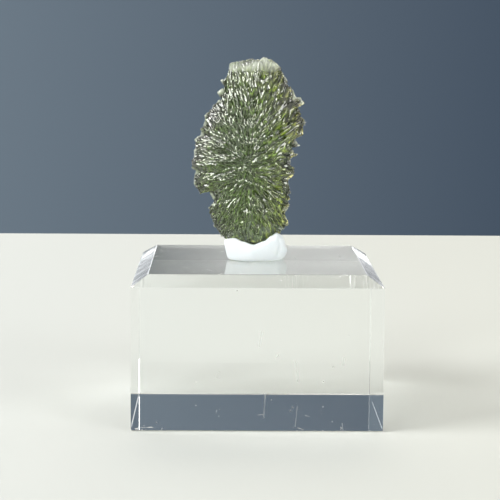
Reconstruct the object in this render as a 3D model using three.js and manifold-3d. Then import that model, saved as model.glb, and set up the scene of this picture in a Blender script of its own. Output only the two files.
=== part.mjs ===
// A natural moldavite, a flat piece of green glass with etched ridges, stood on edge in a lump of white
// putty on a clear display block with a bevelled top.
// Sizes are in millimetres. +Z is up, +X is to the right as the stone is looked at, the front faces -Y,
// and the origin is the middle of the block's underside.
import * as THREE from "three";
import Module from "manifold-3d";
import { mergeVertices } from "three/addons/utils/BufferGeometryUtils.js";

const wasm = await Module();
wasm.setup();

// The clear block is square in plan, and its bevel runs round the top.
const BLOCK_SIDE = 50;
const BLOCK_HEIGHT = 30.8;
const BEVEL_IN = 3.4;
const BEVEL_DOWN = 2.2;

// The stone is placed by the middle of its flat form.
const STONE_MIDDLE = new THREE.Vector3(-1.5, 0, 53.7);
const STONE_HALF_THICKNESS = 4.6;
const STONE_BOW = 0.7;
const STONE_HALF_WIDTH = 12;

// The faces keep their thickness far out from the middle and round over to the rim. Their swellings and
// hollows fade out on the way.
const FACE_FLATNESS = 2.3;
const FACE_ROUNDNESS = 0.6;
const LUMP_FADE = 3;

// The stone's outline, clockwise from the top as seen from the front: x and z from the stone's middle.
// Ridges end at its points, and furrows run out between them.
const OUTLINE = [
  [2.8, 19.4], [4.5, 18.9], [5.4, 18.2], [6.4, 17.3], [7.2, 15.9], [8.1, 14], [9.1, 12.4], [9.6, 11.3],
  [10.8, 11], [11.5, 9.8], [10.4, 8.7], [11.1, 7.6], [11.9, 5.7], [11.6, 4.3], [11.5, 3], [9.8, 2],
  [10.7, 1], [9.1, 0], [10.2, -0.9], [8.6, -2.2], [9.7, -3.4], [10, -4.7], [9.7, -5.4], [8.4, -6.1],
  [9.2, -8], [8.7, -9.6], [8.9, -11.5], [7.8, -12.8], [8.6, -14.6], [8.4, -16], [7.2, -17.3], [5.7, -19],
  [3.2, -20.2], [0.1, -20.8], [-3, -20.2], [-5.6, -18.7], [-7.4, -16.6], [-8.5, -13.7], [-8.8, -12.2],
  [-7.6, -10.6], [-8.5, -9.1], [-10.4, -9.6], [-11.5, -7.9], [-11.9, -6.1], [-11.3, -4.5], [-12.2, -3.9],
  [-12.5, -2.6], [-11.7, -1], [-11.7, 0.9], [-11.6, 2.3], [-10.2, 3.3], [-10.5, 4.4], [-9.4, 6],
  [-9.6, 7.2], [-8.3, 8.6], [-7.5, 9.8], [-6.2, 10.6], [-6.9, 12], [-5.6, 13], [-6.2, 14.5], [-4.8, 15.5],
  [-4.7, 16.9], [-4.2, 18.2], [-1.7, 18.7], [0, 19.1], [1.7, 19],
].map(([x, z]) => new THREE.Vector2(x, z));

// Ridges spread from a spine: a short upright line inside the outline, a little below its middle.
const SPINE_MIDDLE = -3.5;
const SPINE_HALF = 6;
const SPINE_REACH = 20;

// The rim leaves the flat middle plane by this much, in a few long waves.
const RIM_SWAY = 0.5;
const RIM_WAVES = [[2, 0.8, 1], [5, 2.1, 0.5]];

// The stone's surface is a disc of rings on each face. Ring k has SECTORS times k points.
const SECTORS = 6;
const RINGS = 25;
const RIM_POINTS = SECTORS * RINGS;
const RIM_SMOOTHING = 6;
const TEETH_BEGIN = 0.5;

// Etched furrows, in staggered bands from the spine outwards.
const FURROW_BANDS = [0.12, 0.27, 0.42, 0.57, 0.72, 0.87, 1];
const FURROW_PITCH = 2.7;
const FURROW_SHIFT = 0.35;
const FURROW_SCATTER = 0.03;
const FURROW_HALF_LENGTH = [1.7, 3.4];
const FURROW_GROWTH = 0.65;
const FURROW_HALF_WIDTH = [1.05, 1.5];
const FURROW_DEPTH = [0.7, 1.15];
const NOTCH_FURROW = { halfLength: 4.2, halfWidth: 1.2, depth: 1.6 };
const NOTCH_LEAST = 0.25;
const THINNEST_HALF = 0.16;

// The front of the stone falls away in a thin, pale edge at the top.
const TOP_EDGE = 19.5;
const TOP_EDGE_HALF = 0.45;
const TOP_SLOPE = 0.62;

// Broad swellings and hollows of the two faces: x, z, radius and height.
const FRONT_LUMPS = [
  [-4, 6, 6, 0.5], [5, -2, 5, 0.45], [0.5, -9.5, 3.4, -0.7], [-5, -4, 5, 0.3], [3, 10, 5, -0.35],
];
const BACK_LUMPS = [
  [3, 5, 6, 0.5], [-5, -3, 5, -0.6], [1, -12, 5, 0.4], [-2, 13, 4, -0.3],
];

// The putty is an oval lump, hollowed where the stone is pressed in. Its lip rises to the right.
const PUTTY_MIDDLE_X = -0.1;
const PUTTY_HALF_WIDTH = 6.6;
const PUTTY_HALF_DEPTH = 4.7;
const PUTTY_LEAN = 0.14;
const PUTTY_SIDES = 44;
const PUTTY_SECTION = [
  [0, 0], [0.45, 0], [0.8, 0], [0.89, 0.06], [0.96, 0.22], [1, 0.48], [0.97, 0.72], [0.9, 0.89],
  [0.8, 0.98], [0.66, 1], [0.48, 0.97], [0.25, 0.93], [0, 0.92],
].map(([r, z]) => new THREE.Vector2(r, z));
const PUTTY_LIP = [
  [-6.6, 4.2], [-4.4, 4.5], [-2.5, 3.9], [-0.5, 3.35], [1.7, 4.1], [3.2, 5.1], [4.3, 5.6], [5.5, 5.1],
  [6.6, 3.8],
];

// Neighbours are kept this far apart.
const GAP = 0.3;

// Points closer than this are one point of a solid.
const WELD = 1e-4;

// Repeatable random numbers from 0 to 1.
function randomFrom(seed) {
  let state = seed;
  return () => {
    state = (state * 1664525 + 1013904223) % 4294967296;
    return state / 4294967296;
  };
}

const between = ([low, high], share) => low + (high - low) * share;

// The rim: points along the outline, with one on each of its corners.
function rimAlong(outline, count) {
  const lengths = [0];
  outline.forEach((p, i) => {
    lengths.push(lengths[i] + p.distanceTo(outline[(i + 1) % outline.length]));
  });
  const total = lengths[outline.length];
  const places = [];
  outline.forEach((_, i) => {
    const nearest = Math.round((lengths[i] / total) * count);
    places.push(i === 0 ? 0 : Math.max(nearest, places[i - 1] + 1));
  });
  const rim = [];
  outline.forEach((p, i) => {
    const next = outline[(i + 1) % outline.length];
    const end = i + 1 < outline.length ? places[i + 1] : count;
    for (let j = places[i]; j < end; j += 1) {
      rim.push(p.clone().lerp(next, (j - places[i]) / (end - places[i])));
    }
  });
  return rim;
}

// The rim with its teeth averaged away.
function smoothed(rim, reach) {
  return rim.map((_, i) => {
    const sum = new THREE.Vector2();
    let weights = 0;
    for (let k = -reach; k <= reach; k += 1) {
      const weight = reach + 1 - Math.abs(k);
      sum.addScaledVector(rim[(i + k + rim.length) % rim.length], weight);
      weights += weight;
    }
    return sum.divideScalar(weights);
  });
}

// The point of the spine that a ridge ending at the rim point p comes from.
function spinePoint(p) {
  const along = THREE.MathUtils.clamp((p.y - SPINE_MIDDLE) / SPINE_REACH, -1, 1);
  return new THREE.Vector2(0, SPINE_MIDDLE + SPINE_HALF * along);
}

const RIM = rimAlong(OUTLINE, RIM_POINTS);
const SOFT_RIM = smoothed(RIM, RIM_SMOOTHING);

// A place on the flat disc: turn runs once round the rim, out goes from the spine, 0, to the rim, 1.
function discPoint(turn, out, grow = 0) {
  const at = turn * RIM_POINTS;
  const i = Math.floor(at) % RIM_POINTS;
  const j = (i + 1) % RIM_POINTS;
  const share = at - Math.floor(at);
  const toothed = RIM[i].clone().lerp(RIM[j], share);
  const soft = SOFT_RIM[i].clone().lerp(SOFT_RIM[j], share);
  const edge = soft.lerp(toothed, THREE.MathUtils.smoothstep(out, TEETH_BEGIN, 1));
  const from = new THREE.Vector2(0, SPINE_MIDDLE).lerp(spinePoint(edge), out);
  const ray = edge.sub(from);
  ray.setLength(ray.length() + grow);
  return from.addScaledVector(ray, out);
}

// How far the disc leaves the flat middle plane: a slight bow, and the rim's waves.
function bend(p, turn, out) {
  const waves = RIM_WAVES.reduce(
    (sum, [count, phase, height]) => sum + height * Math.sin(2 * Math.PI * count * turn + phase),
    0,
  );
  return STONE_BOW * (p.x / STONE_HALF_WIDTH) ** 2 + RIM_SWAY * out ** 2 * waves;
}

// Furrows of one face, each with its middle, its direction away from the spine, and its size. Their length
// is partly chance and partly growth towards the rim, and one more furrow starts at each notch of the rim.
function furrowsOf(seed) {
  const random = randomFrom(seed);
  const give = (most) => most * (2 * random() - 1);
  const furrows = [];
  const add = (middle, halfLength, halfWidth, depth) => {
    const along = middle.clone().sub(spinePoint(middle)).normalize();
    furrows.push({ middle, along, halfLength, halfWidth, depth });
  };
  const girth = SOFT_RIM.reduce((sum, p, i) => sum + p.distanceTo(SOFT_RIM[(i + 1) % RIM_POINTS]), 0);
  FURROW_BANDS.forEach((out, band) => {
    const count = Math.round((girth * out) / FURROW_PITCH);
    for (let i = 0; i < count; i += 1) {
      const stagger = 0.5 * (band % 2);
      const turn = (i + stagger + give(FURROW_SHIFT) + count) / count;
      const middle = discPoint(turn % 1, out + give(FURROW_SCATTER));
      add(
        middle,
        between(FURROW_HALF_LENGTH, THREE.MathUtils.lerp(random(), out, FURROW_GROWTH)),
        between(FURROW_HALF_WIDTH, random()),
        between(FURROW_DEPTH, random()),
      );
    }
  });
  RIM.forEach((p, i) => {
    const before = RIM[(i + RIM_POINTS - 1) % RIM_POINTS];
    const after = RIM[(i + 1) % RIM_POINTS];
    const spine = spinePoint(p);
    const inset = (before.distanceTo(spine) + after.distanceTo(spine)) / 2 - p.distanceTo(spine);
    if (inset > NOTCH_LEAST) {
      add(p.clone(), NOTCH_FURROW.halfLength, NOTCH_FURROW.halfWidth, NOTCH_FURROW.depth);
    }
  });
  return furrows;
}

// How deep the furrows cut at a point. Where two meet, the deeper one shows, which leaves a sharp crest.
function cutAt(p, furrows) {
  let deepest = 0;
  for (const f of furrows) {
    const away = p.clone().sub(f.middle);
    const lengthwise = away.dot(f.along) / f.halfLength;
    const across = away.cross(f.along) / f.halfWidth;
    deepest = Math.max(deepest, f.depth * (1 - lengthwise ** 2 - across ** 2));
  }
  return deepest;
}

const FACES = {
  front: { toward: -1, furrows: furrowsOf(11), lumps: FRONT_LUMPS },
  back: { toward: 1, furrows: furrowsOf(29), lumps: BACK_LUMPS },
};

// Half the stone's thickness on one face. The envelope is the same form without its furrows.
function halfThickness(p, out, face, envelope) {
  let half = STONE_HALF_THICKNESS * (1 - out ** FACE_FLATNESS) ** FACE_ROUNDNESS;
  const share = 1 - out ** LUMP_FADE;
  for (const [x, z, radius, height] of face.lumps) {
    const r2 = ((p.x - x) ** 2 + (p.y - z) ** 2) / radius ** 2;
    half += share * height * Math.exp(-r2);
  }
  if (face.toward < 0) {
    half = Math.min(half, TOP_EDGE_HALF + Math.max(0, TOP_EDGE - p.y) * TOP_SLOPE);
  }
  if (envelope) return half;
  return Math.max(Math.min(half, THINNEST_HALF), half - cutAt(p, face.furrows));
}

// The stone as a closed surface: a front and a back disc that share their rim.
function stoneGeometry({ envelope = false, grow = 0 } = {}) {
  const positions = [];
  const index = [];
  const starts = {};
  const addPoint = (p, y) => positions.push(p.x, y, p.y);
  for (const [name, face] of Object.entries(FACES)) {
    starts[name] = [];
    for (let k = 0; k < RINGS; k += 1) {
      starts[name].push(positions.length / 3);
      for (let j = 0; j < Math.max(1, SECTORS * k); j += 1) {
        const turn = k ? j / (SECTORS * k) : 0;
        const out = k / RINGS;
        const p = discPoint(turn, out, grow);
        const half = halfThickness(p, out, face, envelope) + grow;
        addPoint(p, bend(p, turn, out) + face.toward * half);
      }
    }
  }
  const rimStart = positions.length / 3;
  for (let j = 0; j < RIM_POINTS; j += 1) {
    const turn = j / RIM_POINTS;
    const p = discPoint(turn, 1, grow);
    addPoint(p, bend(p, turn, 1));
  }
  for (const [name, face] of Object.entries(FACES)) {
    const vertex = (k, j) => {
      if (k === 0) return starts[name][0];
      return (k === RINGS ? rimStart : starts[name][k]) + (j % (SECTORS * k));
    };
    const addFace = (a, b, c) => (face.toward < 0 ? index.push(a, c, b) : index.push(a, b, c));
    for (let k = 1; k <= RINGS; k += 1) {
      for (let sector = 0; sector < SECTORS; sector += 1) {
        for (let i = 0; i < k; i += 1) {
          const inner = vertex(k - 1, sector * (k - 1) + i);
          const outer = vertex(k, sector * k + i);
          const next = vertex(k, sector * k + i + 1);
          addFace(inner, outer, next);
          if (i < k - 1) addFace(inner, next, vertex(k - 1, sector * (k - 1) + i + 1));
        }
      }
    }
  }
  const geometry = new THREE.BufferGeometry();
  geometry.setAttribute("position", new THREE.Float32BufferAttribute(positions, 3));
  geometry.setIndex(index);
  geometry.translate(STONE_MIDDLE.x, STONE_MIDDLE.y, STONE_MIDDLE.z);
  geometry.computeVertexNormals();
  return geometry;
}

// The block is turned as a square: a lathe of four sides, whose radius reaches the corners.
function blockGeometry() {
  const corner = (halfSide) => halfSide * Math.SQRT2;
  const section = [
    [0, 0],
    [corner(BLOCK_SIDE / 2), 0],
    [corner(BLOCK_SIDE / 2), BLOCK_HEIGHT - BEVEL_DOWN],
    [corner(BLOCK_SIDE / 2 - BEVEL_IN), BLOCK_HEIGHT],
    [0, BLOCK_HEIGHT],
  ].map(([r, z]) => new THREE.Vector2(r, z));
  const geometry = new THREE.LatheGeometry(section, 4, Math.PI / 4);
  geometry.rotateX(Math.PI / 2);
  return geometry;
}

// The height of the putty's lip at x, eased between the listed heights.
function lipHeight(x) {
  const last = PUTTY_LIP.length - 1;
  if (x <= PUTTY_LIP[0][0]) return PUTTY_LIP[0][1];
  if (x >= PUTTY_LIP[last][0]) return PUTTY_LIP[last][1];
  const i = PUTTY_LIP.findIndex(([end]) => end > x);
  const [fromX, fromZ] = PUTTY_LIP[i - 1];
  const [toX, toZ] = PUTTY_LIP[i];
  return THREE.MathUtils.lerp(fromZ, toZ, THREE.MathUtils.smoothstep(x, fromX, toX));
}

function puttyLump() {
  const geometry = new THREE.LatheGeometry(PUTTY_SECTION, PUTTY_SIDES);
  geometry.rotateX(Math.PI / 2);
  const position = geometry.getAttribute("position");
  for (let i = 0; i < position.count; i += 1) {
    const x = position.getX(i) * PUTTY_HALF_WIDTH;
    const z = position.getZ(i) * lipHeight(x);
    const leaning = x < 0 ? x - PUTTY_LEAN * z * Math.abs(position.getX(i)) : x;
    const y = position.getY(i) * PUTTY_HALF_DEPTH;
    position.setXYZ(i, PUTTY_MIDDLE_X + leaning, y, BLOCK_HEIGHT + GAP + z);
  }
  return geometry;
}

// A three.js geometry as a manifold-3d solid, and back.
function solidFrom(geometry) {
  const bare = geometry.clone();
  bare.deleteAttribute("normal");
  bare.deleteAttribute("uv");
  const merged = mergeVertices(bare, WELD);
  return new wasm.Manifold(
    new wasm.Mesh({
      numProp: 3,
      vertProperties: merged.getAttribute("position").array,
      triVerts: new Uint32Array(merged.index.array),
    }),
  );
}

function geometryFrom(solid) {
  const made = solid.getMesh();
  const geometry = new THREE.BufferGeometry();
  geometry.setAttribute("position", new THREE.Float32BufferAttribute(made.vertProperties, 3));
  geometry.setIndex(Array.from(made.triVerts));
  geometry.computeVertexNormals();
  return geometry;
}

// The putty with the stone's seat pressed into it.
function puttyGeometry() {
  const seat = solidFrom(stoneGeometry({ envelope: true, grow: GAP }));
  return geometryFrom(solidFrom(puttyLump()).subtract(seat));
}

function piece(name, geometry, color, roughness) {
  const material = new THREE.MeshStandardMaterial({ color, roughness, metalness: 0 });
  const mesh = new THREE.Mesh(geometry, material);
  mesh.name = name;
  return mesh;
}

const group = new THREE.Group();
group.add(piece("display_block", blockGeometry(), 0xdfe6e4, 0.05));
group.add(piece("putty", puttyGeometry(), 0xf2f4f2, 0.6));
group.add(piece("moldavite", stoneGeometry(), 0x5d6b38, 0.2));

export default group;
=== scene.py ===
import math

import bmesh
import bpy
import numpy as np
from mathutils import Euler, Matrix, Vector
from mathutils.bvhtree import BVHTree
from mathutils.kdtree import KDTree


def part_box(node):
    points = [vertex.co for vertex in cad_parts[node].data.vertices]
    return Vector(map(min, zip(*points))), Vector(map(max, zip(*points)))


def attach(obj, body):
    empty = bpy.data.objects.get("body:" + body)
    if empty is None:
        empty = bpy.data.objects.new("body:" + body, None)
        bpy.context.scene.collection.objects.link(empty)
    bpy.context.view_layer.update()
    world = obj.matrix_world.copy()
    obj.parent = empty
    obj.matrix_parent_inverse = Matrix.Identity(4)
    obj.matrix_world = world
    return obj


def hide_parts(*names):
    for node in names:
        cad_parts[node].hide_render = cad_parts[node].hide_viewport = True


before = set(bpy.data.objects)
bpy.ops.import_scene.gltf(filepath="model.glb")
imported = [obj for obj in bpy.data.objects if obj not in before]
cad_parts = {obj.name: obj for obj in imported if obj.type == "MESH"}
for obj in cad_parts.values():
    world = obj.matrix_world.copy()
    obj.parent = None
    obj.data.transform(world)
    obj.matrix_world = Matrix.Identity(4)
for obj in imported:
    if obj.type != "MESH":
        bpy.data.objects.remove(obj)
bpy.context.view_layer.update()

# The view: a long lens a little above the stone, turned slightly down and to the right. Angles in degrees.
EYE = (-0.00615, -0.35358, 0.08164)
TURNED_RIGHT = 0.789
TURNED_DOWN = 7.88
ROLLED = 0.391
LENS_MM = 122.4
SENSOR_WIDTH_MM = 36

camera_data = bpy.data.cameras.new("view")
camera_data.sensor_width = SENSOR_WIDTH_MM
camera_data.lens = LENS_MM
camera = bpy.data.objects.new("view", camera_data)
bpy.context.scene.collection.objects.link(camera)
aim = Euler((math.radians(90 - TURNED_DOWN), 0, math.radians(-TURNED_RIGHT))).to_matrix()
camera.matrix_world = Matrix.Translation(EYE) @ (aim @ Matrix.Rotation(math.radians(ROLLED), 3, "Z")).to_4x4()
bpy.context.scene.camera = camera


# The display block: clear cast acrylic, sawn square and bevelled round its top. Its faces are flame
# polished, so its edges are eased by a hair, its bevels are slightly wavy, and it has gathered a few fine
# scratches and specks in use.
BLOCK_BEVEL_IN = 0.0034
BLOCK_BEVEL_DOWN = 0.0022
BLOCK_EASED_EDGE = 0.00016
BEVEL_WAVES_PER_M = 700.0
BEVEL_WAVE_HEIGHT = 0.00018
WEAR_PATCHES_PER_M = 120.0
SCRATCHES_PER_M = 90.0
SCRATCH_STRETCH = (1.0, 1.0, 0.25)
SCRATCH_WIDTH = 0.01
SCRATCHED_FROM = 0.64
SPECKS_PER_M = 420.0
SPECK_SIZE = 0.08
SPECKLED_FROM = 0.6
MARK_HEIGHT = 6e-6
MARK_ROUGHNESS = 0.3
ACRYLIC_IOR = 1.49
ACRYLIC_TINT = (0.86, 0.95, 0.91, 1)
ACRYLIC_TINT_PER_M = 3.0


class Wire:
    """An output of a node. Arithmetic on it adds Math nodes."""

    def __init__(self, tree, socket=None):
        self.tree = tree
        self.socket = socket

    def node(self, kind, settings=None, sockets=None, output=0):
        """Adds a node: its settings first, then the values or wires of its sockets."""
        made = self.tree.nodes.new(kind)
        for name, value in (settings or {}).items():
            setattr(made, name, value)
        for name, value in (sockets or {}).items():
            if isinstance(value, Wire):
                self.tree.links.new(value.socket, made.inputs[name])
            else:
                made.inputs[name].default_value = value
        return Wire(self.tree, made.outputs[output] if made.outputs else None)

    def output(self, index):
        """Another output of the same node."""
        return Wire(self.tree, self.socket.node.outputs[index])

    def noise(self, per_m, detail):
        """Soft noise at this place, with so many swells to a metre."""
        return self.node("ShaderNodeTexNoise", None, {"Vector": self, "Scale": per_m, "Detail": detail})

    def fade(self, low, high):
        """This value as a share, which goes from 0 at low to 1 at high."""
        return self.node("ShaderNodeMapRange", None, {"Value": self, "From Min": low, "From Max": high})

    def between(self, at_none, at_all):
        """A colour between two, with this value as the share of the second."""
        return self.node("ShaderNodeMix", {"data_type": "RGBA"}, {0: self, 6: at_none, 7: at_all}, 2)

    def maths(self, operation, *values):
        return self.node("ShaderNodeMath", {"operation": operation}, dict(enumerate(values)))

    def __add__(self, other):
        return self.maths("ADD", self, other)

    def __sub__(self, other):
        return self.maths("SUBTRACT", self, other)

    def __rsub__(self, other):
        return self.maths("SUBTRACT", other, self)

    def __mul__(self, other):
        return self.maths("MULTIPLY", self, other)

    def __gt__(self, other):
        return self.maths("GREATER_THAN", self, other)

    __radd__ = __add__
    __rmul__ = __mul__


def new_material(name):
    material = bpy.data.materials.new(name)
    material.use_nodes = True
    material.node_tree.nodes.clear()
    return material, Wire(material.node_tree)


def add_piece(name, mesh, material, node):
    """Adds a finished mesh as the piece that stands for a node of the frame."""
    piece = bpy.data.objects.new(name, mesh)
    bpy.context.scene.collection.objects.link(piece)
    mesh.materials.clear()
    mesh.materials.append(material)
    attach(piece, "root")
    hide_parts(node)
    return piece


def block_mesh():
    low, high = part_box("display_block")
    levels = [(low.z, 0), (high.z - BLOCK_BEVEL_DOWN, 0), (high.z, BLOCK_BEVEL_IN)]
    bm = bmesh.new()
    rings = []
    for z, inset in levels:
        left, right, front, back = low.x + inset, high.x - inset, low.y + inset, high.y - inset
        corners = [(left, front), (right, front), (right, back), (left, back)]
        rings.append([bm.verts.new((x, y, z)) for x, y in corners])
    bm.faces.new(rings[0][::-1])
    bm.faces.new(rings[-1])
    for under, over in zip(rings, rings[1:]):
        for i in range(4):
            j = (i + 1) % 4
            bm.faces.new((under[i], under[j], over[j], over[i]))
    bmesh.ops.bevel(bm, geom=bm.edges[:], offset=BLOCK_EASED_EDGE, segments=2, profile=0.6, affect="EDGES")
    mesh = bpy.data.meshes.new("clear_block")
    bm.to_mesh(mesh)
    bm.free()
    return mesh


def acrylic():
    material, wire = new_material("clear_acrylic")
    place = wire.node("ShaderNodeTexCoord", output=3)
    patches = place.noise(WEAR_PATCHES_PER_M, 2.0)
    stretched = wire.node("ShaderNodeMapping", None, {"Vector": place, "Scale": SCRATCH_STRETCH})
    cells = wire.node(
        "ShaderNodeTexVoronoi",
        {"feature": "DISTANCE_TO_EDGE"},
        {"Vector": stretched, "Scale": SCRATCHES_PER_M},
    )
    scratch = wire.maths("LESS_THAN", cells, SCRATCH_WIDTH) * (patches > SCRATCHED_FROM)
    specks = wire.node("ShaderNodeTexVoronoi", None, {"Vector": place, "Scale": SPECKS_PER_M})
    speck = wire.maths("LESS_THAN", specks, SPECK_SIZE) * (patches > SPECKLED_FROM)
    marks = wire.maths("MAXIMUM", scratch, speck)
    apart = wire.node("ShaderNodeSeparateXYZ", None, {"Vector": place})
    x, y, z = (apart.output(i) for i in range(3))
    on_side = wire.maths("ABSOLUTE", x) > wire.maths("ABSOLUTE", y)
    along = y * on_side + x * (1 - on_side)
    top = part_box("display_block")[1].z
    on_bevel = (z > top - BLOCK_BEVEL_DOWN) * wire.maths("LESS_THAN", z, top - BLOCK_EASED_EDGE)
    waves = wire.node(
        "ShaderNodeTexNoise",
        {"noise_dimensions": "1D"},
        {"W": along, "Scale": BEVEL_WAVES_PER_M, "Detail": 2.0},
    )
    height = marks * MARK_HEIGHT + waves * on_bevel * BEVEL_WAVE_HEIGHT
    relief = wire.node("ShaderNodeBump", None, {"Strength": 1.0, "Distance": 1.0, "Height": height})
    shader = wire.node(
        "ShaderNodeBsdfPrincipled",
        None,
        {
            "Base Color": (1, 1, 1, 1),
            "Roughness": marks * MARK_ROUGHNESS,
            "IOR": ACRYLIC_IOR,
            "Transmission Weight": 1.0,
            "Normal": relief,
        },
    )
    tint = wire.node(
        "ShaderNodeVolumeAbsorption", None, {"Color": ACRYLIC_TINT, "Density": ACRYLIC_TINT_PER_M}
    )
    wire.node("ShaderNodeOutputMaterial", None, {"Surface": shader, "Volume": tint})
    return material


add_piece("clear_block", block_mesh(), acrylic(), "display_block")


# The moldavite: natural glass in one piece, flat and toothed round its rim. The ground has etched it into
# furrows and long pits that spread from a line in its middle, with sharp crests between them. The pits are
# painted darker, as painted shade. The crests are painted yellower towards the right, as a painted glow of
# light passing through from the left. Its thin rim and its top are painted pale and made rough, as a painted
# glow through the thin rim and a painted sheen on the top.
STONE_GRID_MM = 0.125
STONE_FACES = 190000
STONE_SEED = 5
MELT_SHARE = 0.5
FIRM_SHARE = -0.52
SMOOTHINGS = 6
BROAD_MELTS = 45
BROAD_SHARE = 0.6
BROAD_FROM_TO_MM = (1.0, 3.5)
RAY_START_MM = 0.02
NO_FAR_SIDE_MM = 10.0
SPINE_MIDDLE_MM = 50.3
SPINE_HALF_MM = 6.0
SPINE_REACH_MM = 20.0
STONE_HALF_WIDTH_MM = 12.0
PIT_APART_MM = (0.56, 0.9)
PIT_HALF_WIDTH_MM = (0.34, 0.42)
PIT_HALF_LENGTH_MM = (0.6, 0.9)
PIT_DEPTH_MM = (0.28, 0.42)
PIT_GROWS_TO_RIM = 1.1
PIT_COARSER_ON_RIGHT = 1.3
PIT_VALLEY = 0.2
PIT_TURN_DEG = (17, 7)
PIT_TURN_OVER = (0, 0.5)
PIT_FACE_TURN = 0.3
PIT_SHARE_OF_THICKNESS = 0.36
RIM_KEPT_MM = 0.45
# The thin rim and the top are painted pale: painted light, a glow through the thin rim and a sheen on the
# top.
PAINTED_PALE_BELOW_MM = 1.3
PAINTED_PALE_TOP_MM = (69.8, 72.0)


def with_modifier(mesh, kind, settings):
    """A copy of the mesh with one modifier applied."""
    rough = bpy.data.objects.new("rough_form", mesh)
    bpy.context.scene.collection.objects.link(rough)
    modifier = rough.modifiers.new("change", kind)
    for name, value in settings.items():
        setattr(modifier, name, value)
    changed = bpy.data.meshes.new_from_object(rough.evaluated_get(bpy.context.evaluated_depsgraph_get()))
    bpy.data.objects.remove(rough)
    return changed


def even_mesh(node, spacing_mm):
    """The node's form in millimetres, in small even faces."""
    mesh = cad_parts[node].data.copy()
    mesh.transform(Matrix.Scale(1000, 4))
    bm = bmesh.new()
    bm.from_mesh(mesh)
    bmesh.ops.remove_doubles(bm, verts=bm.verts, dist=0.001)
    bm.to_mesh(mesh)
    bm.free()
    return with_modifier(mesh, "REMESH", {"mode": "VOXEL", "voxel_size": spacing_mm})


def points_of(mesh):
    points = np.empty(len(mesh.vertices) * 3)
    mesh.vertices.foreach_get("co", points)
    return points.reshape(-1, 3)


def normals_of(mesh):
    normals = np.empty(len(mesh.vertices) * 3, np.float32)
    mesh.vertex_normals.foreach_get("vector", normals)
    return normals.reshape(-1, 3).astype(float)


def set_points(mesh, points):
    mesh.vertices.foreach_set("co", points.astype(np.float32).ravel())
    mesh.update()


def melted(mesh, points, shares):
    """The points moved towards the mean of their neighbours, by each share in turn."""
    edges = np.empty(len(mesh.edges) * 2, np.int32)
    mesh.edges.foreach_get("vertices", edges)
    a, b = edges.reshape(-1, 2).T
    count = np.bincount(a, minlength=len(points)) + np.bincount(b, minlength=len(points))
    for share in shares:
        mean = np.empty_like(points)
        for axis in range(3):
            total = np.bincount(a, points[b, axis], len(points))
            total = total + np.bincount(b, points[a, axis], len(points))
            mean[:, axis] = total / count
        points = points + share * (mean - points)
    return points


def flow_at(points):
    """Which way furrows run at each point, away from the spine, and how near the rim it is, from 0 to 1."""
    low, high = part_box("moldavite")
    middle_x = (low.x + high.x) / 2 * 1000
    along = np.clip((points[:, 2] - SPINE_MIDDLE_MM) / SPINE_REACH_MM, -1, 1)
    flow = np.zeros_like(points)
    flow[:, 0] = points[:, 0] - middle_x
    flow[:, 2] = points[:, 2] - (SPINE_MIDDLE_MM + SPINE_HALF_MM * along)
    out = np.linalg.norm(flow, axis=1)
    return flow / np.maximum(out, 1e-6)[:, None], np.minimum(out / STONE_HALF_WIDTH_MM, 1)


def thickness_at(mesh, points, normals):
    """How much glass lies straight under each point of the surface."""
    solid = BVHTree.FromPolygons(points.tolist(), [tuple(face.vertices) for face in mesh.polygons])
    thickness = np.full(len(points), NO_FAR_SIDE_MM)
    for i, (point, normal) in enumerate(zip(points, normals)):
        distance = solid.ray_cast(Vector(point - RAY_START_MM * normal), Vector(-normal))[3]
        if distance is not None:
            thickness[i] = distance
    return thickness


def etched(points, normals, rng):
    """How deep the pits cut at each point, and that as a share of their usual depth there."""
    flow, out = flow_at(points)
    coarser = 1 + PIT_COARSER_ON_RIGHT * np.clip(flow[:, 0], 0, 1) * out
    tree = KDTree(len(points))
    for i, point in enumerate(points):
        tree.insert(point, i)
    tree.balance()
    depth = np.zeros(len(points))
    taken = np.zeros(len(points), bool)
    for centre in rng.permutation(len(points)):
        if taken[centre]:
            continue
        wider = coarser[centre]
        longer = wider * (1 + PIT_GROWS_TO_RIM * out[centre])
        half_width = rng.uniform(*PIT_HALF_WIDTH_MM) * wider
        half_length = rng.uniform(*PIT_HALF_LENGTH_MM) * longer
        deepest = rng.uniform(*PIT_DEPTH_MM) * wider
        turn = math.radians(rng.normal(0, np.interp(out[centre], PIT_TURN_OVER, PIT_TURN_DEG)))
        normal = normals[centre]
        lengthwise = flow[centre] - normal * (flow[centre] @ normal)
        lengthwise /= max(np.linalg.norm(lengthwise), 1e-6)
        crosswise = np.cross(normal, lengthwise)
        lengthwise, crosswise = (
            math.cos(turn) * lengthwise + math.sin(turn) * crosswise,
            math.cos(turn) * crosswise - math.sin(turn) * lengthwise,
        )
        near = np.array([i for _, i, _ in tree.find_range(points[centre], half_length)])
        near = near[normals[near] @ normal > PIT_FACE_TURN]
        away = points[near] - points[centre]
        along, across = away @ lengthwise, away @ crosswise
        groove = 1 - np.hypot(across / half_width, PIT_VALLEY) + PIT_VALLEY
        depth[near] = np.maximum(depth[near], deepest * groove * (1 - (along / half_length) ** 2))
        apart = (across / (PIT_APART_MM[0] * wider)) ** 2 + (along / (PIT_APART_MM[1] * longer)) ** 2
        taken[near[apart < 1]] = True
    return depth, depth / (PIT_DEPTH_MM[1] * coarser)


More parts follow.
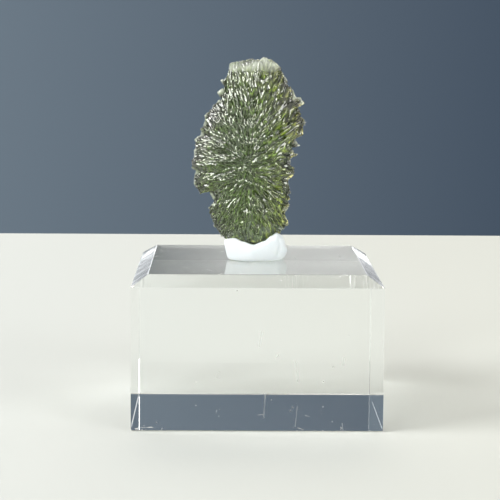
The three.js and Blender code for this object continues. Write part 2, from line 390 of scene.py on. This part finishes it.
def stone_mesh():
    """The etched stone, shaped in millimetres and scaled to metres at the end."""
    rng = np.random.default_rng(STONE_SEED)
    mesh = even_mesh("moldavite", STONE_GRID_MM)
    points = melted(mesh, points_of(mesh), (MELT_SHARE, FIRM_SHARE) * SMOOTHINGS)
    set_points(mesh, points)
    thickness = thickness_at(mesh, points, normals_of(mesh))
    broad = melted(mesh, points, (MELT_SHARE,) * BROAD_MELTS)
    set_points(mesh, broad)
    normals = normals_of(mesh)
    thick = np.clip((thickness - BROAD_FROM_TO_MM[0]) / (BROAD_FROM_TO_MM[1] - BROAD_FROM_TO_MM[0]), 0, 1)
    points = points + (BROAD_SHARE * thick)[:, None] * (broad - points)
    depth, pitted = etched(points, normals, rng)
    depth = np.minimum(depth, PIT_SHARE_OF_THICKNESS * np.maximum(thickness - RIM_KEPT_MM, 0))
    set_points(mesh, points - normals * depth[:, None])
    # The share of painted pale glass is full where the glass is thinnest at the rim and near the top. The pit
    # depth share is kept for the painted shade in the pits.
    painted_pale = np.clip(1 - thickness / PAINTED_PALE_BELOW_MM, 0, 1)
    near_top = np.clip((points[:, 2] - PAINTED_PALE_TOP_MM[0]) / (PAINTED_PALE_TOP_MM[1] - PAINTED_PALE_TOP_MM[0]), 0, 1)
    for name, values in (("pitted", pitted), ("painted_pale", np.maximum(painted_pale, near_top))):
        mesh.attributes.new(name, "FLOAT", "POINT").data.foreach_set("value", values.astype(np.float32))
    mesh = with_modifier(mesh, "DECIMATE", {"ratio": STONE_FACES / (2 * len(mesh.polygons))})
    mesh.transform(Matrix.Scale(0.001, 4))
    for polygon in mesh.polygons:
        polygon.use_smooth = True
    return mesh


MOLDAVITE_IOR = 1.49
MOLDAVITE_GREEN = (0.71, 0.8, 0.34, 1)
MOLDAVITE_GREEN_PER_M = 660.0
# The crests are painted yellower towards the right: a painted glow of light that passes through the stone
# from the left.
CREST_ON_LEFT = (0.7, 0.84, 0.45, 1)
CREST_PAINTED_GLOW_ON_RIGHT = (0.88, 0.8, 0.38, 1)
CREST_FADE = (-0.004, 0.008)
# The pits are painted darker: painted shade in the hollows, darkest where they cut deepest.
PIT_PAINTED_SHADE = (0.035, 0.05, 0.01, 1)
PIT_PAINTED_SHADE_FROM_TO = (0.15, 0.7)
GLOSS_IOR = 1.72
# A pale, rough glass: painted light, standing for the glow through the thin rim and the sheen on the top.
PAINTED_PALE_GLASS = (0.9, 0.95, 0.82, 1)
PAINTED_PALE_PATCHES_PER_M = 260.0
PAINTED_PALE_PATCH_FROM_TO = (0.38, 0.6)
PAINTED_PALE_EVERYWHERE = 0.25
PAINTED_PALE_AT_MOST = 0.8


def moldavite_glass():
    material, wire = new_material("moldavite_glass")
    place = wire.node("ShaderNodeTexCoord", output=3)
    x = wire.node("ShaderNodeSeparateXYZ", None, {"Vector": place})
    # Painted glow: the crest colour turns yellower towards the right.
    crest = x.fade(*CREST_FADE).between(CREST_ON_LEFT, CREST_PAINTED_GLOW_ON_RIGHT)
    pitted = wire.node("ShaderNodeAttribute", {"attribute_name": "pitted"}, output=2)
    # Painted shade: the glass is painted darker the deeper its pit.
    colour = pitted.fade(*PIT_PAINTED_SHADE_FROM_TO).between(crest, PIT_PAINTED_SHADE)
    clear = wire.node(
        "ShaderNodeBsdfPrincipled",
        None,
        {
            "Base Color": colour,
            "Roughness": 0.03,
            "IOR": MOLDAVITE_IOR,
            "Transmission Weight": 0.97,
            "Coat Weight": 1.0,
            "Coat Roughness": 0.01,
            "Coat IOR": GLOSS_IOR,
        },
    )
    # Mixed in on the thin rim and the top, in patches: a pale, rough glass that paints the glow through the
    # rim and the sheen on the top.
    frosted_painted_pale = wire.node(
        "ShaderNodeBsdfPrincipled",
        None,
        {
            "Base Color": PAINTED_PALE_GLASS,
            "Roughness": 0.45,
            "IOR": MOLDAVITE_IOR,
            "Transmission Weight": 0.5,
            "Coat Weight": 0.6,
            "Coat Roughness": 0.1,
        },
    )
    patchy = place.noise(PAINTED_PALE_PATCHES_PER_M, 3.0).fade(*PAINTED_PALE_PATCH_FROM_TO)
    painted_pale = wire.node("ShaderNodeAttribute", {"attribute_name": "painted_pale"}, output=2)
    painted_pale_share = wire.maths("MINIMUM", painted_pale * (PAINTED_PALE_EVERYWHERE + patchy), PAINTED_PALE_AT_MOST)
    surface = wire.node("ShaderNodeMixShader", None, {0: painted_pale_share, 1: clear, 2: frosted_painted_pale})
    green = wire.node(
        "ShaderNodeVolumeAbsorption", None, {"Color": MOLDAVITE_GREEN, "Density": MOLDAVITE_GREEN_PER_M}
    )
    wire.node("ShaderNodeOutputMaterial", None, {"Surface": surface, "Volume": green})
    return material


stone = add_piece("stone", stone_mesh(), moldavite_glass(), "moldavite")


# The putty: a lump of white mounting putty, pinched flat on the block. The stone is pressed into it, which
# has raised a lip round its foot, higher on the right, where the lump is creased.
PUTTY_LIP_MM = [
    (-6.6, 4.2), (-4.4, 4.5), (-2.5, 3.9),
    (-0.5, 3.35), (1.7, 4.1), (3.2, 5.1),
    (4.3, 5.6), (5.5, 5.1), (6.6, 3.8),
]
# The sections go from the middle of the underside round to the middle of the top, in shares of the lump's
# half width and height.
PUTTY_SECTION_RIGHT = [
    (0, 0), (0.45, 0), (0.8, 0), (0.89, 0.06), (0.96, 0.22), (1, 0.48), (0.97, 0.72),
    (0.9, 0.89), (0.8, 0.98), (0.66, 1), (0.48, 0.97), (0.25, 0.93), (0, 0.92),
]
PUTTY_SECTION_LEFT = [
    (0, 0), (0.45, 0), (0.8, 0), (0.88, 0.04), (0.92, 0.2), (0.955, 0.45), (0.985, 0.7),
    (1, 0.87), (0.95, 0.97), (0.8, 1), (0.55, 0.98), (0.28, 0.93), (0, 0.92),
]
# The crease goes up the front of the lump. Each height has the crease's place across.
PUTTY_CREASE_MM = [(1.6, 4.7), (3.3, 5.0), (4.5, 4.8)]
PUTTY_CREASE_DEPTH_MM = 0.22
PUTTY_CREASE_HALF_WIDTH_MM = 0.28
PUTTY_CREASE_END_MM = 0.5
# A dent is in the front, -1, or in the back, 1. Then come its place across, its height, radius and depth.
PUTTY_DENTS_MM = [
    (-1, -3.4, 2.2, 2.4, 0.25),
    (-1, 1.3, 1.4, 2.0, 0.2),
    (-1, 3.2, 2.6, 1.4, 0.15),
    (1, 2.0, 2.4, 2.6, 0.3),
    (1, -3.0, 2.0, 2.2, 0.25),
]
PUTTY_MIDDLE_MM = -0.1
PUTTY_HALF_WIDTH_MM = 6.6
PUTTY_HALF_DEPTH_MM = 4.7
PUTTY_AROUND = 320
PUTTY_STEPS = 9
PUTTY_GAP_MM = 0.04
PUTTY_WHITE = (0.76, 0.81, 0.83, 1)
PUTTY_LUMPS_PER_M = 420.0
PUTTY_LUMP_HEIGHT = 0.0002


def eased(points, at):
    """The value at a place between listed points, with smooth steps."""
    places, values = zip(*points)
    i = int(np.clip(np.searchsorted(places, at) - 1, 0, len(places) - 2))
    share = min(max((at - places[i]) / (places[i + 1] - places[i]), 0), 1)
    return values[i] + (values[i + 1] - values[i]) * share * share * (3 - 2 * share)


def rounded(points, steps):
    """A smooth line through the listed points, with even steps between each two."""
    line = []
    padded = [points[0], *points, points[-1]]
    for p0, p1, p2, p3 in zip(padded, padded[1:], padded[2:], padded[3:]):
        p0, p1, p2, p3 = (np.array(p, float) for p in (p0, p1, p2, p3))
        for t in np.arange(steps) / steps:
            bend = (2 * p0 - 5 * p1 + 4 * p2 - p3) * t * t + (3 * p1 - p0 - 3 * p2 + p3) * t ** 3
            line.append(0.5 * (2 * p1 + (p2 - p0) * t + bend))
    line.append(np.array(points[-1], float))
    return line


def pressed_in(x, z, face):
    """How deep fingers have pressed the front, face -1, or the back, face 1, at a place."""
    depth = 0
    for side, dent_x, dent_z, radius, dent_depth in PUTTY_DENTS_MM:
        if side == face:
            depth += dent_depth * math.exp(-((x - dent_x) ** 2 + (z - dent_z) ** 2) / radius ** 2)
    if face < 0:
        from_crease = (x - eased(PUTTY_CREASE_MM, z)) / PUTTY_CREASE_HALF_WIDTH_MM
        beyond_end = max(PUTTY_CREASE_MM[0][0] - z, z - PUTTY_CREASE_MM[-1][0], 0)
        depth += PUTTY_CREASE_DEPTH_MM * math.exp(-from_crease ** 2 - (beyond_end / PUTTY_CREASE_END_MM) ** 2)
    return depth


def putty_mesh(pressed_by):
    under = BVHTree.FromObject(pressed_by, bpy.context.evaluated_depsgraph_get())
    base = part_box("display_block")[1].z * 1000 + PUTTY_GAP_MM
    sections = [rounded(section, PUTTY_STEPS)[1:-1] for section in (PUTTY_SECTION_LEFT, PUTTY_SECTION_RIGHT)]
    bm = bmesh.new()
    rings = []
    for on_left, on_right in zip(*sections):
        ring = []
        for k in range(PUTTY_AROUND):
            angle = 2 * math.pi * k / PUTTY_AROUND
            out, up = on_left + (on_right - on_left) * (1 + math.cos(angle)) / 2
            x = out * math.cos(angle) * PUTTY_HALF_WIDTH_MM
            z = max(up, 0) * eased(PUTTY_LIP_MM, x)
            y = out * math.sin(angle) * PUTTY_HALF_DEPTH_MM
            y -= math.copysign(pressed_in(x, z, math.copysign(1, y)), y) * min(abs(y) / PUTTY_GAP_MM, 1)
            point = Vector((x + PUTTY_MIDDLE_MM, y, base + z)) / 1000
            hit = under.ray_cast(Vector((point.x, point.y, base / 1000)), Vector((0, 0, 1)))
            if hit[0] is not None and point.z > hit[0].z - PUTTY_GAP_MM / 1000:
                point.z = hit[0].z - PUTTY_GAP_MM / 1000
            ring.append(bm.verts.new(point))
        rings.append(ring)
    first = bm.verts.new(np.mean([v.co for v in rings[0]], axis=0))
    last = bm.verts.new(np.mean([v.co for v in rings[-1]], axis=0))
    for k in range(PUTTY_AROUND):
        j = (k + 1) % PUTTY_AROUND
        bm.faces.new((first, rings[0][j], rings[0][k]))
        bm.faces.new((last, rings[-1][k], rings[-1][j]))
        for inner, outer in zip(rings, rings[1:]):
            bm.faces.new((inner[k], inner[j], outer[j], outer[k]))
    bmesh.ops.recalc_face_normals(bm, faces=bm.faces)
    mesh = bpy.data.meshes.new("putty_lump")
    bm.to_mesh(mesh)
    bm.free()
    for polygon in mesh.polygons:
        polygon.use_smooth = True
    return mesh


def white_putty():
    material, wire = new_material("white_putty")
    place = wire.node("ShaderNodeTexCoord", output=3)
    lumps = place.noise(PUTTY_LUMPS_PER_M, 3.0)
    relief = wire.node(
        "ShaderNodeBump", None, {"Strength": 0.3, "Distance": PUTTY_LUMP_HEIGHT, "Height": lumps}
    )
    shader = wire.node(
        "ShaderNodeBsdfPrincipled",
        None,
        {
            "Base Color": PUTTY_WHITE,
            "Roughness": 0.5 + lumps * 0.15,
            "Subsurface Weight": 0.4,
            "Subsurface Radius": (1.0, 0.9, 0.8),
            "Subsurface Scale": 0.0012,
            "Normal": relief,
        },
    )
    wire.node("ShaderNodeOutputMaterial", None, {"Surface": shader})
    return material


add_piece("putty_lump", putty_mesh(stone), white_putty(), "putty")


# The stage: a pale floor that ends a little behind the object, painted a shade warmer on the right as a
# painted tint of warm light, a slate card far behind it, painted lighter on the left as painted light falling
# from the left, and a plain board hung before the card, above the view, grey on the left and white on the
# right. The block's top face mirrors the board. Its underside, seen through its front, mirrors the card.
# The floor lies a hair below the block, which leaves the air between them that a loose block has.
FLOOR_DROP = 0.0002
FLOOR_HALF_WIDTH = 0.7
FLOOR_FRONT = -0.9
FLOOR_BACK = 0.28
CARD_AT = 3.0
CARD_HALF_WIDTH = 1.2
CARD_FOOT = -0.6
CARD_HEAD = 0.9
BOARD_AT = 2.9
BOARD_LEFT = -0.5
BOARD_RIGHT = 0.9
BOARD_FOOT = 0.36
BOARD_HEAD = 0.58


def stage_sheet(name, corners, left_colour, right_colour, fade):
    """A flat sheet whose colour fades from left to right between two places."""
    mesh = bpy.data.meshes.new(name)
    mesh.from_pydata(corners, [], [(0, 1, 2, 3)])
    sheet = bpy.data.objects.new(name, mesh)
    bpy.context.scene.collection.objects.link(sheet)
    material, wire = new_material(name)
    place = wire.node("ShaderNodeTexCoord", output=3)
    x = wire.node("ShaderNodeSeparateXYZ", None, {"Vector": place})
    colour = x.fade(*fade).between(left_colour, right_colour)
    shader = wire.node("ShaderNodeBsdfPrincipled", None, {"Base Color": colour, "Roughness": 0.7})
    wire.node("ShaderNodeOutputMaterial", None, {"Surface": shader})
    mesh.materials.append(material)
    return sheet


# The floor is painted a shade warmer on the right: a painted tint of the warm light there.
stage_sheet(
    "pale_floor",
    [
        (-FLOOR_HALF_WIDTH, FLOOR_FRONT, -FLOOR_DROP),
        (FLOOR_HALF_WIDTH, FLOOR_FRONT, -FLOOR_DROP),
        (FLOOR_HALF_WIDTH, FLOOR_BACK, -FLOOR_DROP),
        (-FLOOR_HALF_WIDTH, FLOOR_BACK, -FLOOR_DROP),
    ],
    left_colour=(0.5, 0.52, 0.503, 1),
    right_colour=(0.505, 0.518, 0.483, 1),
    fade=(-0.06, 0.06),
)
# The card is painted lighter on the left: painted light falling from the left.
stage_sheet(
    "slate_card",
    [
        (-CARD_HALF_WIDTH, CARD_AT, CARD_FOOT),
        (CARD_HALF_WIDTH, CARD_AT, CARD_FOOT),
        (CARD_HALF_WIDTH, CARD_AT, CARD_HEAD),
        (-CARD_HALF_WIDTH, CARD_AT, CARD_HEAD),
    ],
    left_colour=(0.205, 0.272, 0.34, 1),
    right_colour=(0.079, 0.122, 0.183, 1),
    fade=(-0.5, 0.54),
)
white_board = stage_sheet(
    "white_board",
    [
        (BOARD_LEFT, BOARD_AT, BOARD_FOOT),
        (BOARD_RIGHT, BOARD_AT, BOARD_FOOT),
        (BOARD_RIGHT, BOARD_AT, BOARD_HEAD),
        (BOARD_LEFT, BOARD_AT, BOARD_HEAD),
    ],
    left_colour=(0.16, 0.195, 0.23, 1),
    right_colour=(1.0, 1.0, 1.0, 1),
    fade=(-0.2, 0.09),
)
white_board.visible_camera = False


# The light: a large soft box high on the left as from a window, with a small one at the front left, a weaker
# one at the front right, a low one behind on the left and a warm one high behind. Two more, far behind and
# low, stand where the block's side bevels mirror them. The sky is pale, brighter and warmer overhead.
AIMED_AT = (0, 0, 0.03)
WARM_WHITE = (1.0, 0.93, 0.8)
SKY_LOW = (0.93, 0.96, 1.0, 1)
SKY_HIGH = (1.0, 0.98, 0.92, 1)
SKY_LOW_STRENGTH = 0.12
SKY_HIGH_STRENGTH = 0.9


def soft_box(name, at, size, watts, towards=AIMED_AT, colour=(1, 1, 1)):
    data = bpy.data.lights.new(name, "AREA")
    data.color = colour
    data.shape = "RECTANGLE"
    data.size, data.size_y = size
    data.energy = watts
    light = bpy.data.objects.new(name, data)
    bpy.context.scene.collection.objects.link(light)
    light.visible_camera = False
    light.location = at
    light.rotation_euler = (Vector(towards) - Vector(at)).to_track_quat("-Z", "Y").to_euler()


soft_box("window_box", at=(-2.4, -0.8, 1.7), size=(1.7, 1.6), watts=86)
soft_box("front_box", at=(-0.9, -1.6, 1.15), size=(0.55, 0.55), watts=14, towards=(0, 0, 0.05))
soft_box("rear_box", at=(-0.45, 0.68, 0.22), size=(0.5, 0.4), watts=0.9)
soft_box("fill_box", at=(1.9, -1.7, 1.0), size=(1.3, 1.3), watts=30)
soft_box("warm_box", at=(0, 1.5, 1.5), size=(1.6, 1.0), watts=12, colour=WARM_WHITE)
soft_box("far_left_box", at=(-0.75, 2.9, 0), size=(0.7, 0.7), watts=2.5, towards=(-0.75, 0, 0))
soft_box("far_right_box", at=(0.8, 2.9, 0), size=(0.7, 0.7), watts=2.0, towards=(0.8, 0, 0))

world = bpy.data.worlds.new("pale_room")
world.use_nodes = True
world.node_tree.nodes.clear()
air = Wire(world.node_tree)
upward = air.node("ShaderNodeSeparateXYZ", None, {"Vector": air.node("ShaderNodeTexCoord")}, 2)
strength = air.node(
    "ShaderNodeMapRange", None, {"Value": upward, "To Min": SKY_LOW_STRENGTH, "To Max": SKY_HIGH_STRENGTH}
)
colour = upward.between(SKY_LOW, SKY_HIGH)
sky = air.node("ShaderNodeBackground", None, {"Color": colour, "Strength": strength})
air.node("ShaderNodeOutputWorld", None, {"Surface": sky})
bpy.context.scene.world = world

bpy.context.scene.cycles.max_bounces = 24
bpy.context.scene.cycles.transmission_bounces = 20
bpy.context.scene.cycles.blur_glossy = 0
bpy.context.scene.cycles.use_denoising = True
bpy.context.scene.view_settings.view_transform = "Standard"
